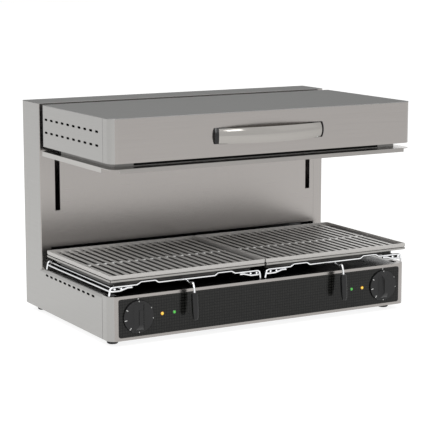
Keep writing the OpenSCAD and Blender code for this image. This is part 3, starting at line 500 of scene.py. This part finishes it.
# The strands are painted light on their crowns and dark in the grooves between them: painted light
# and shade.
rope, tree, shader = material("twisted_steel_strands", "#B9BBBE", 0.34, 1)
place = add(tree, "TexCoord")
slant = add(tree, "Mapping", {"Rotation": (0, radians(28), 0), "Scale": (1 / lay_length,) * 3},
            {0: place.outputs["Object"]})
strands = add(tree, "TexWave", {"Scale": 1, "Distortion": 0.4}, {0: slant.outputs[0]},
              bands_direction="Z")
tone = add(tree, "MixRGB", {1: linear("#7B7D80"), 2: linear("#CDCFD1")},
           {0: strands.outputs["Fac"]})
ripple = add(tree, "Bump", {"Strength": 0.8, "Distance": 0.0002},
             {"Height": strands.outputs["Fac"]})
tree.links.new(tone.outputs[0], shader.inputs["Base Color"])
tree.links.new(ripple.outputs[0], shader.inputs["Normal"])
give(acetal, "pulley_left", "pulley_right")
give(rope, "cable_tops")


def wires(name, paths, thick, made):
    """Round wires along paths, as one mesh."""
    curve = bpy.data.curves.new(name, "CURVE")
    curve.dimensions = "3D"
    curve.bevel_depth = thick / 2
    curve.bevel_resolution = 3
    curve.use_fill_caps = True
    for path in paths:
        spline = curve.splines.new("POLY")
        spline.points.add(len(path) - 1)
        for point, spot in zip(spline.points, path):
            point.co = (*spot, 1)
    draft = placed(name + "_draft", curve)
    bpy.context.view_layer.update()
    shown = draft.evaluated_get(bpy.context.evaluated_depsgraph_get())
    mesh = bpy.data.meshes.new_from_object(shown)
    bpy.data.objects.remove(draft)
    mesh.shade_smooth()
    mesh.materials.append(made)
    return placed(name, mesh)


for name, body, cable_x, cable_end in (("cable_fronts", "head", 0.337, 0.436),
                                       ("cable_backs", "weight", 0.287, 0.252)):
    runs = [[(x, cable_y, cable_end), (x, cable_y, cable_top)] for x in (-cable_x, cable_x)]
    cable = wires(name + "_runs", runs, cable_d, rope)
    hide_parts(name)
    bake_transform(cable)


# ------------------------------------------------------------ heating head
# A shallow box of satin stainless sheet: a wrap round the front corners, two
# sides with rows of vent slots, a top and a bottom. Its back is painted a matt
# black: painted shade, for the shadow in the gap before the column.
head_vents = {"rows": (0.4465, 0.477), "first": 0.113, "pitch": 0.0305}
back_shade_black = grained("matt_black_back_painted_shade", ("#131314", "#1C1C1D"), (0.002,) * 3, (0.42, 0.6),
                      0.00002)
front_wrap("head_front_wrap", "head")
for side in ("left", "right"):
    eased("head_side_" + side, "head", side_sheet_painted_light,
          reshape=lambda form: longer_vents(form, **head_vents))
eased("head_top", "head", top_sheet_painted_shade)
# The back is painted matt black as painted shade.
give(back_shade_black, "head_back")
give(hidden_sheet, "head_floor")


# ------------------------------------------------------------ vent strip
# A pressed strip along the head's lower front, slotted for air, in stove paint
# drawn near black, and behind it a near-black plate drawn as wire gauze of 1.5 mm
# mesh, with a faint weave: painted shade, so that the slots read dark.
mesh_pitch = 0.0015
gauze_thick, gauze_gap, gauze_corner = 0.0004, 0.0003, 0.001
gauze_less_x, gauze_less_z = 0.012, 0.001
near_black_strip = grained("near_black_strip_paint", ("#070706", "#0E0D0C"), (0.002,) * 3, (0.6, 0.75),
                     0.00003, Specular_IOR_Level=0.2)
give(near_black_strip, "vent_strip")

# The gauze is drawn near black so that the slots read dark: painted shade.
gauze, tree, shader = material("black_gauze_painted_shade", "#0A0A0A", 0.7, Specular_IOR_Level=0.2)
weave = square_net(tree, mesh_pitch, ("#0E0E0D", "#0B0B0A", "#030303"), 0.12, 0.1)
tree.links.new(weave.outputs["Color"], shader.inputs["Base Color"])
low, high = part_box("vent_strip")
behind = Matrix.Translation((0, high.y + gauze_gap, (low.z + high.z) / 2))
gauze_size = (high.x - low.x - gauze_less_x, gauze_thick, high.z - low.z - gauze_less_z)
vent_shade_gauze = plate("vent_shade_gauze", gauze_size, gauze_corner, 2, behind, gauze)
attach(vent_shade_gauze, "head")


# ------------------------------------------------------------ heaters
# Sheathed elements, tinted brown by heat, on zinc-plated plates under a board of
# mineral fibre painted flat black, as painted shade so that the vents read dark, in
# an open box of stainless sheet that heat has dulled.
sheath = grained("heat_tinted_sheath", ("#4B4643", "#5B524B"), (0.012,) * 3, (0.38, 0.55), 0.00001,
                 metallic=1)
mineral = grained("mineral_board_painted_shade_black", ("#1B1B1C", "#262626"), (0.002,) * 3,
                  (0.85, 0.95), 0.0003)
box_sheet = brushed("heat_dulled_stainless", "#8A8987", "#7E7D7B", along_y, (0.38, 0.46))
give(sheath, "heating_elements")
# The board is painted black as painted shade.
give(mineral, "insulation_board")
eased("heater_pan", "head", box_sheet)


# ------------------------------------------------------------ flange
# The notched plate round the heated opening, cut from satin sheet and hung on
# spacers. Its faces take tones painted by how light falls on them: the upper face
# and the side lips painted light, the front lip painted shade.
flange_top = brushed("stainless_upper_face_painted_light", "#D5D3D0", "#C9C7C4", along_y, (0.2, 0.28))
front_lip = brushed("stainless_lip_painted_shade", "#9B9895", "#918E8B", along_x, (0.25, 0.33))
side_lip = brushed("stainless_side_lip_painted_light", "#B4B2AF", "#AAA8A5", along_y, (0.2, 0.28))
flange = eased("flange_plate", "head", front_sheet_painted_shade)
face_with(flange, flange_top, lambda face: face.normal.z > facing)
face_with(flange, front_lip, lambda face: face.normal.y < -facing)
face_with(flange, side_lip, lambda face: abs(face.normal.x) > facing)


# ------------------------------------------------------------ handle
# A bowed strap of stainless, polished to a soft mirror, with a crowned face. It
# is held between two black moulded ends that are bolted to the head from inside.
strap_centre_y, handle_z = 0.1195, 0.459
bend_x, draw_back = 0.135, 0.0168  # past here the strap's end turns back by an angle
end_x, end_narrow, end_short = 0.137, 0.07, 0.7
polished = grained("polished_stainless", ("#A5A29E", "#A09D99"), along_x, (0.1, 0.14), 0.0000005,
                   metallic=1, Specular_Tint=(0.4, 0.4, 0.4, 1))


def short_strap(form):
    """Draws both ends of the strap back along its bow and narrows the strap towards them."""
    for hand in (-1, 1):
        end = [vert for vert in form.verts if vert.co.x * hand > bend_x]
        turn = Matrix.Rotation(-hand * draw_back, 3, "Z")
        bmesh.ops.rotate(form, verts=end, cent=(0, strap_centre_y, 0), matrix=turn)
    for vert in form.verts:
        narrow = 1 - end_narrow * (vert.co.x / end_x) ** 2
        vert.co.z = handle_z + (vert.co.z - handle_z) * narrow


def short_ends(form):
    """Draws the outer faces of the handle's ends in."""
    for vert in form.verts:
        beyond = abs(vert.co.x) - end_x
        if beyond > 0:
            vert.co.x = (end_x + beyond * end_short) * (1 if vert.co.x > 0 else -1)


eased("handle_strap", "head", polished, 0.0009, round_tilt, short_strap)
eased("handle_ends", "head", abs_black, 0.0005, round_tilt, short_ends)


# ------------------------------------------------------------ lifting gear
# Box arms and carriages of plain steel, and bushes of sintered bronze, matt and
# oil-stained. A pleated sleeve of black nylon takes the wiring up to the head.
bronze = grained("sintered_bronze", ("#A98752", "#8F6F40"), (0.001,) * 3, (0.35, 0.5), 0.00002,
                 metallic=1)
give(hidden_sheet, "lift_arms", "carriages")
give(bronze, "bushes")

sleeve, form = welded_copy("wiring_sleeve", "flex_conduit")
finished(sleeve, form, nylon)
low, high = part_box("flex_conduit")
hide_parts("flex_conduit")
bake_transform(sleeve)


# ------------------------------------------------------------ wire racks
# Two pull-out racks of 5 mm steel wire, bent, spot welded and bright chromed, so
# that they mirror their surroundings. A black moulded grip hangs on each, on a
# wire that dips over the front edge.
wire_d = 0.005
front_y, back_y = -0.208, 0.130
rail_z, low_z, runner_z, rest_z, foot_z = 0.137, 0.127, 0.1323, 0.1427, 0.1175
leg_x, post_x, low_x = 0.1942, 0.1912, 0.1902
rest_x = ((0.1255, 0.1165), (0.073, 0.080))
runner_x = (0.182, 0.166)
loop_in = (0.022, 0.041, 0.052)
kick, overlap = 0.001, 0.003  # how far the feet lean; how far welded wires run past
arc_pull, arc_points = 0.55, 7  # a bend's curve handles, and the points it is drawn with
corner_r, loop_r, hook_r = 0.008, 0.005, 0.0036
grip_y, grip_z = -0.2436, 0.1115
grip_slope = tan(radians(5.9))
chrome = grained("bright_chrome_plate", ("#F2F3F4", "#E4E5E7"), (0.004,) * 3, (0.08, 0.14),
                 0.000002, metallic=1, Specular_Tint=(0.3, 0.3, 0.3, 1))


def bent(points, radius):
    """The points of a line, with each corner between its ends bent to a radius."""
    points = [Vector(point) for point in points]
    path = [points[0]]
    for before, corner, after in zip(points, points[1:], points[2:]):
        trim = radius * tan((corner - before).angle(after - corner) / 2)
        near = corner + (before - corner).normalized() * trim
        far = corner + (after - corner).normalized() * trim
        path += interpolate_bezier(near, near.lerp(corner, arc_pull), far.lerp(corner, arc_pull),
                                   far, arc_points)
    return path + [points[-1]]


def cross_wire(y):
    """Front or rear wire: down to a foot at both ends, with two raised rests for the pan."""
    (outer_low, outer_high), (inner_low, inner_high) = rest_x
    half = [(-leg_x, y + kick, foot_z), (-post_x, y, rail_z), (-outer_low, y, rail_z),
            (-outer_high, y, rest_z), (-inner_high, y, rest_z), (-inner_low, y, rail_z)]
    return bent(half + [(-x, y, z) for x, y, z in reversed(half)], corner_r)


def side_wires(hand):
    """Two straight runners, and a low wire that loops in at the front to carry them."""
    for x in runner_x:
        yield [Vector((hand * x, front_y - overlap, runner_z)),
               Vector((hand * x, back_y + overlap, runner_z))]
    low_end, rise_end, loop_end = (low_x - inward for inward in loop_in)
    yield bent([(hand * low_x, back_y + overlap, low_z), (hand * low_x, front_y, low_z),
                (hand * low_end, front_y, low_z), (hand * rise_end, front_y, runner_z),
                (hand * loop_end, front_y, runner_z)], loop_r)


# The grip's wire runs forward under the front wire, hooks up over the casing's edge
# and leans back down into the grip.
grip_wire = bent([(0, front_y + 0.008, runner_z + 0.001), (0, front_y - 0.020, runner_z - 0.0025),
                  (0, front_y - 0.0285, runner_z + 0.0025),
                  (0, grip_y + 0.0088 * grip_slope, runner_z - 0.012),
                  (0, grip_y - 0.010 * grip_slope, grip_z - 0.010)], hook_r)
rack_paths = [cross_wire(front_y), cross_wire(back_y), *side_wires(-1), *side_wires(1), grip_wire]
for side, body in (("left", "rack_l"), ("right", "rack_r")):
    low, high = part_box("rack_" + side)
    middle = Vector(((low.x + high.x) / 2, 0, 0))
    rack = wires("rack_wires_" + side, [[spot + middle for spot in path] for path in rack_paths],
                 wire_d, chrome)
    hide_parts("rack_" + side)
    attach(rack, body)
    eased("rack_grip_" + side, body, abs_black, 0.0004, round_tilt)


# ------------------------------------------------------------ pans and grids
# Pressed steel drip pans, drawn dark, with a painted highlight along their lips, and
# welded stainless grids of crowned ribs in a rim. The grids' tones are painted light
# and shade on one stainless: the crests, the rim's top and the cross rod painted
# light, the rim's sides a little darker, and the ribs' sides painted shade.
rim_w = 0.004
lip_reach = 0.0008
crest_tilt = 0.5  # a face that leans more than this is a rib's or a rim's side
rod_r, rod_y, rod_z, rod_inset = 0.0027, -0.048, 0.1548, 0.009
pan_steel = grained("dark_pressed_steel", ("#4F4E4C", "#403F3E"), along_x,
                    (0.34, 0.46), 0.00001, metallic=0.8)
lip_highlight = grained("steel_lip_painted_highlight", ("#A9A7A4", "#9B9996"), along_x, (0.3, 0.4), 0.00001,
                  metallic=0.8)
crests_painted_light = grained("stainless_crests_painted_light", ("#EAE8E5", "#DCDAD7"), along_y, (0.3, 0.42), 0.00001,
                  metallic=0.5, Specular_Tint=(0.5, 0.5, 0.5, 1))
rib_sides_painted_shade = grained("stainless_rib_sides_painted_shade", ("#7C7A78", "#696765"), along_y, (0.4, 0.5), 0.00001,
                  metallic=0.6)
rim_sides_painted_light = grained("stainless_rim_sides_painted_light", ("#CBC8C5", "#BDBBB8"), along_x, (0.3, 0.4), 0.00001,
                   metallic=0.5)
rod_highlight = grained("bright_rod_painted_highlight", ("#FAFAF8", "#F0F0EE"), along_x, (0.2, 0.3), 0.00001,
                       metallic=0.2)


def from_edge(face, low, high):
    """How far in from a grid's outline the middle of a face is; below nought when outside."""
    spot = face.center
    return min(spot.x - low.x, high.x - spot.x, spot.y - low.y, high.y - spot.y)


for side, letter in (("left", "l"), ("right", "r")):
    low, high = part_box("grid_" + side)
    pan = eased("pan_" + side, "drip_pan_" + letter, pan_steel)
    # A painted highlight along each pan's lip, at the grid's outline.
    face_with(pan, lip_highlight, lambda face: min(
        abs(face.center[axis] - edge[axis]) for axis in (0, 1) for edge in (low, high)) < lip_reach)
    grid = eased("grid_" + side, "grid_" + letter, crests_painted_light, 0.0004, round_tilt)
    # The ribs' sides take painted shade and the rim's sides a lighter painted tone; the crests and
    # the rim's top keep the painted light.
    face_with(grid, rib_sides_painted_shade,
              lambda face: face.normal.z < crest_tilt and from_edge(face, low, high) > rim_w)
    face_with(grid, rim_sides_painted_light, lambda face: face.normal.z < crest_tilt)
    ends = [Vector((x, rod_y, rod_z)) for x in (low.x + rod_inset, high.x - rod_inset)]
    # The cross rod is painted bright: a painted highlight.
    rod = wires("cross_rod_" + side, [ends], 2 * rod_r, rod_highlight)
    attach(rod, "grid_" + letter)
